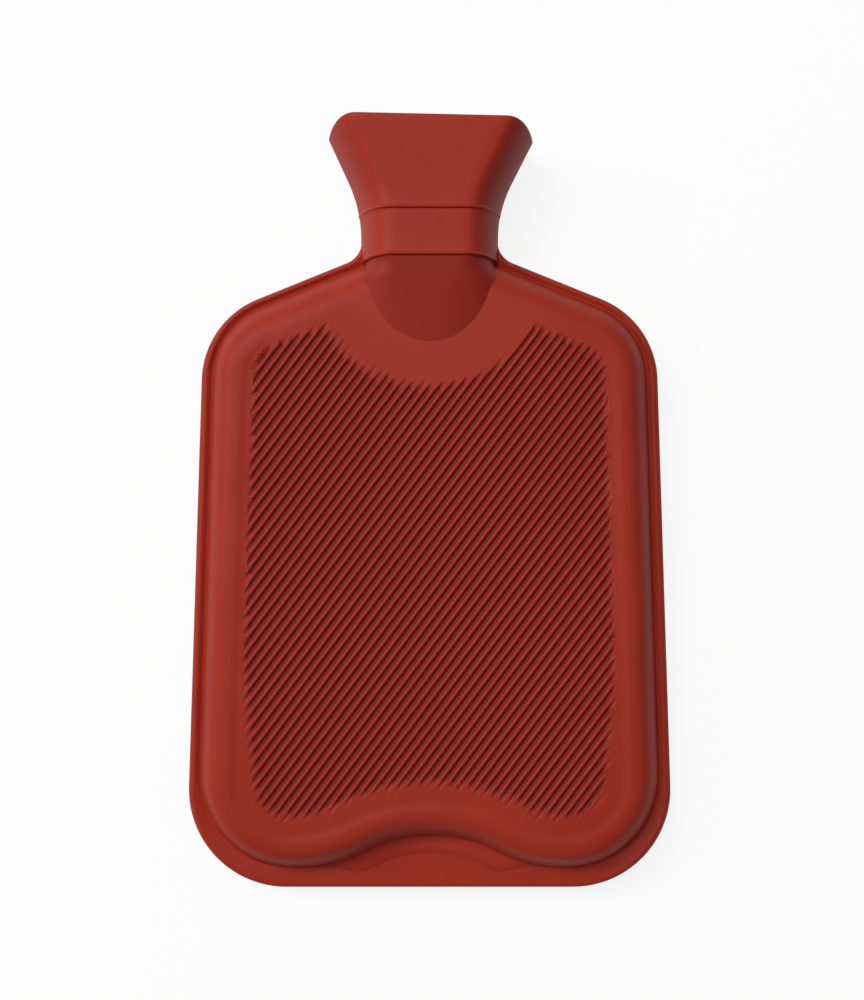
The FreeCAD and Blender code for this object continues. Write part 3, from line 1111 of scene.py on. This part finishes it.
class Nodes:
    """The node tree of one material or world."""

    def __init__(self, owner: bpy.types.ID) -> None:
        """Keeps a new material or world and empties its tree."""
        self.owner = owner
        owner.use_nodes = True
        self.tree = owner.node_tree
        self.tree.nodes.clear()

    def node(self, kind: str, settings: dict[str, Any] | None = None, inputs: dict[Any, Any] | None = None,
             output: Any = 0) -> Wire:
        """Adds one node.

        Args:
            kind: Blender's name of the node's type.
            settings: properties of the node, which are set first.
            inputs: values or wires for its sockets, by name or number.
            output: the socket that the returned wire carries.

        Returns:
            A wire from that output.
        """
        made = self.tree.nodes.new(kind)
        for key, value in (settings or {}).items():
            setattr(made, key, value)
        for key, value in (inputs or {}).items():
            carried = value.value if isinstance(value, Wire) else value
            if isinstance(carried, bpy.types.NodeSocket):
                self.tree.links.new(carried, made.inputs[key])
            else:
                made.inputs[key].default_value = carried
        return Wire(self, made.outputs[output] if made.outputs else made)

    def surface(self, shader: Wire) -> bpy.types.Material:
        """Links a shader to the output and returns the material."""
        self.node("ShaderNodeOutputMaterial", None, {"Surface": shader})
        return self.owner

    def seen(self) -> Wire:
        """Share that is 1 on rays from the camera, off a gloss or through glass, and 0 on the light's own.

        Returns:
            The share.
        """
        share: Any = 0.0
        for ray in ("Is Camera Ray", "Is Glossy Ray", "Is Transmission Ray"):
            on_ray = self.node("ShaderNodeLightPath", output=ray)
            share = self.node("ShaderNodeMath", {"operation": "MAXIMUM"}, {0: share, 1: on_ray})
        return share


def tinted(nodes: Nodes, share: Any, low: Any, high: Any) -> Wire:
    """Colour between two, by a share."""
    return nodes.node("ShaderNodeMix", {"data_type": "RGBA"}, {0: share, 6: low, 7: high}, 2)


@dataclass(frozen=True)
class Rubber:
    """Satin moulded rubber with a faint mottle, fine grain and a worn sheen, darkened by painted shade where
    a piece carries the painted-shade attribute.
    """

    name: str
    colour: tuple[float, float, float, float]
    pale: tuple[float, float, float, float]
    # Colour that the painted shade darkens towards.
    painted_shade_colour: tuple[float, float, float, float] = (0, 0, 0, 1)
    roughness: float = 0.5
    roughness_spread: float = 0.12
    grain: float = 0.1
    grain_depth: float = 0.0004
    shine: float = 0.5
    mottle_scale: float = 22.0
    skin_scale: float = 140.0
    fine_scale: float = 900.0

    def material(self) -> bpy.types.Material:
        """Builds the material.

        Returns:
            The material.
        """
        nodes = Nodes(bpy.data.materials.new(self.name))
        spot = nodes.node("ShaderNodeTexCoord", output="Object")
        mottle = nodes.node("ShaderNodeTexNoise", None, {
            "Vector": spot, "Scale": self.mottle_scale, "Detail": 5.0, "Roughness": 0.6,
        })
        patch = nodes.node("ShaderNodeMapRange", None, {"Value": mottle, "From Min": 0.35, "From Max": 0.68})
        fine = nodes.node("ShaderNodeTexNoise", None, {
            "Vector": spot, "Scale": self.fine_scale, "Detail": 3.0,
        })
        skin = nodes.node("ShaderNodeTexNoise", None, {
            "Vector": spot, "Scale": self.skin_scale, "Detail": 4.0,
        })
        bump = nodes.node("ShaderNodeBump", None, {
            "Strength": self.grain, "Distance": self.grain_depth, "Height": fine * 0.5 + skin * 0.8,
        })
        # Painted shade: the attribute darkens the colour towards the shade colour, in the rib grooves and on
        # the tongues.
        depth = nodes.node("ShaderNodeAttribute", {"attribute_name": PAINTED_SHADE_ATTRIBUTE}, output="Fac")
        colour = tinted(nodes, depth, tinted(nodes, patch, self.colour, self.pale), self.painted_shade_colour)
        rough = skin * self.roughness_spread + (self.roughness - self.roughness_spread / 2)
        shader = nodes.node("ShaderNodeBsdfPrincipled", None, {
            "Base Color": colour, "Roughness": rough, "Normal": bump, "Specular IOR Level": self.shine,
            "IOR": 1.5,
        })
        return nodes.surface(shader)


@dataclass(frozen=True)
class Brass:
    """Brass under a dull, uneven film."""

    name: str = "turned_brass"
    dull: tuple[float, float, float, float] = (0.52, 0.33, 0.12, 1)
    bright: tuple[float, float, float, float] = (0.78, 0.56, 0.26, 1)
    film_scale: float = 180.0
    film_depth: float = 0.0002

    def material(self) -> bpy.types.Material:
        """Builds the material.

        Returns:
            The material.
        """
        nodes = Nodes(bpy.data.materials.new(self.name))
        spot = nodes.node("ShaderNodeTexCoord", output="Object")
        film = nodes.node("ShaderNodeTexNoise", None, {
            "Vector": spot, "Scale": self.film_scale, "Detail": 4.0,
        })
        bump = nodes.node("ShaderNodeBump", None, {
            "Strength": 0.1, "Distance": self.film_depth, "Height": film,
        })
        shader = nodes.node("ShaderNodeBsdfPrincipled", None, {
            "Base Color": tinted(nodes, film, self.dull, self.bright), "Metallic": 1.0,
            "Roughness": film * 0.2 + 0.2, "Normal": bump,
        })
        return nodes.surface(shader)


@dataclass(frozen=True)
class Lamp:
    """One square area lamp, in metres and watts."""

    name: str
    place: tuple[float, float, float]
    size: float
    power: float

    def hang(self, aim: tuple[float, float, float]) -> None:
        """Hangs the lamp and turns it towards a point.

        Args:
            aim: the point.
        """
        data = bpy.data.lights.new(self.name, "AREA")
        data.shape = "SQUARE"
        data.size = self.size
        data.energy = self.power
        lamp = bpy.data.objects.new(self.name, data)
        bpy.context.scene.collection.objects.link(lamp)
        lamp.location = self.place
        lamp.rotation_euler = (Vector(aim) - Vector(self.place)).to_track_quat("-Z", "Y").to_euler()


@dataclass(frozen=True)
class Stage:
    """Pale floor, soft studio light and the camera over the bottle.

    The camera's distance, view and centre are in millimetres about the mid-plane, the rest is in metres.
    """

    distance: float = 600.0
    view_height: float = 425.3
    centre_x: float = 1.0
    centre_y: float = 164.4
    sensor: float = 24.0
    clip_start: float = 0.01
    clip_end: float = 20.0
    floor_size: float = 6.0
    floor_drop: float = 0.0002
    floor_colour: tuple[float, float, float, float] = (0.86, 0.86, 0.86, 1)
    white_near: float = 0.88
    white_from: float = 0.35
    white_to: float = 1.3
    fill: float = 0.16
    aim: tuple[float, float, float] = (0.0, 0.0, 0.02)
    lamps: tuple[Lamp, ...] = (
        Lamp("key", (-0.9, 1.1, 2.6), 1.3, 58.0),
        Lamp("kicker", (-2.0, 0.7, 1.5), 0.5, 25.0),
    )

    def camera(self) -> None:
        """Camera square to the mid-plane, with the foot at the bottom of the frame."""
        data = bpy.data.cameras.new("camera")
        data.sensor_fit = "VERTICAL"
        data.sensor_height = self.sensor
        data.lens = self.sensor * self.distance / self.view_height
        data.clip_start = self.clip_start
        data.clip_end = self.clip_end
        camera = bpy.data.objects.new("camera", data)
        bpy.context.scene.collection.objects.link(camera)
        turn = math.radians(REST.tilt)
        camera.matrix_world = (Matrix.Translation(REST.spot(self.centre_x, self.centre_y, self.distance))
                               @ Matrix.Rotation(turn, 4, "X"))
        bpy.context.scene.camera = camera

    def floor(self) -> None:
        """Pale floor that the camera and reflections see as white, with the bottle's soft shadow on it."""
        bpy.ops.object.select_all(action="DESELECT")
        bpy.ops.mesh.primitive_plane_add(size=self.floor_size, location=(0, 0, -self.floor_drop))
        floor = bpy.context.active_object
        floor.name = "floor"
        nodes = Nodes(bpy.data.materials.new("pale_floor"))
        matt = nodes.node("ShaderNodeBsdfDiffuse", None, {"Color": self.floor_colour})
        white = nodes.node("ShaderNodeEmission", None, {"Color": WHITE, "Strength": 1.0})
        spot = nodes.node("ShaderNodeTexCoord", output="Object")
        away = nodes.node("ShaderNodeVectorMath", {"operation": "LENGTH"}, {0: spot}, "Value")
        whiteness = nodes.node("ShaderNodeMapRange", None, {
            "Value": away, "From Min": self.white_from, "From Max": self.white_to, "To Min": self.white_near,
        })
        mixed = nodes.node("ShaderNodeMixShader", None, {0: nodes.seen() * whiteness, 1: matt, 2: white})
        dress(floor, nodes.surface(mixed))

    def world(self) -> None:
        """Surroundings that the camera and reflections see as white, and that give a low, even fill."""
        world = bpy.data.worlds.new("studio")
        bpy.context.scene.world = world
        nodes = Nodes(world)
        fill = nodes.node("ShaderNodeBackground", None, {"Color": WHITE, "Strength": self.fill})
        white = nodes.node("ShaderNodeBackground", None, {"Color": WHITE, "Strength": 1.0})
        mixed = nodes.node("ShaderNodeMixShader", None, {0: nodes.seen(), 1: fill, 2: white})
        nodes.node("ShaderNodeOutputWorld", None, {"Surface": mixed})

    def build(self) -> None:
        """Sets floor, light and camera."""
        self.camera()
        self.floor()
        self.world()
        for lamp in self.lamps:
            lamp.hang(self.aim)
        bpy.context.scene.view_settings.view_transform = "Standard"


class Slot(Enum):
    """Material slots of the record; the script does not use them."""

    BOTTLE = "bottle_rubber"
    STOPPER = "stopper_plastic"


def dress(piece: bpy.types.Object, material: bpy.types.Material) -> None:
    """Gives a piece one material all over."""
    piece.data.materials.clear()
    piece.data.materials.append(material)


def main() -> None:
    """Builds the pieces in order and reports each."""
    logging.basicConfig(level=logging.INFO, format="%(message)s")
    # The brick rubber's darker colour is painted shade, in the rib grooves and on the tongues.
    brick_rubber = Rubber("brick_rubber", colour=(0.290, 0.020, 0.009, 1), pale=(0.320, 0.025, 0.011, 1),
                          painted_shade_colour=(0.135, 0.007, 0.004, 1), roughness=0.52, shine=0.15)
    stopper_plastic = Rubber("stopper_plastic", colour=(0.03, 0.03, 0.033, 1), pale=(0.045, 0.045, 0.048, 1),
                             roughness=0.38, grain=0.05)
    washer_rubber = Rubber("washer_rubber", colour=(0.04, 0.04, 0.04, 1), pale=(0.06, 0.06, 0.06, 1),
                           roughness=0.6)

    mouth = Mouthed()
    skins = [Panelled().skin(), mouth.skin(), Tongued().skin(mouth)]
    body = joined("bottle_moulding", skins, smooth_angle=40.0)
    dress(body, brick_rubber.material())
    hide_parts("bottle_body")
    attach(body, "bottle")
    log.info("bottle_moulding: %d faces", len(body.data.polygons))

    stopper = Stopper().build("screw_stopper")
    dress(stopper, stopper_plastic.material())
    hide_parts("stopper")
    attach(stopper, "stopper")
    log.info("screw_stopper: %d faces", len(stopper.data.polygons))

    nodes = frame["nodes"]
    dress(nodes["neck_insert"], Brass().material())
    dress(nodes["stopper_washer"], washer_rubber.material())
    Stage().build()


if __name__ == "__main__":
    main()
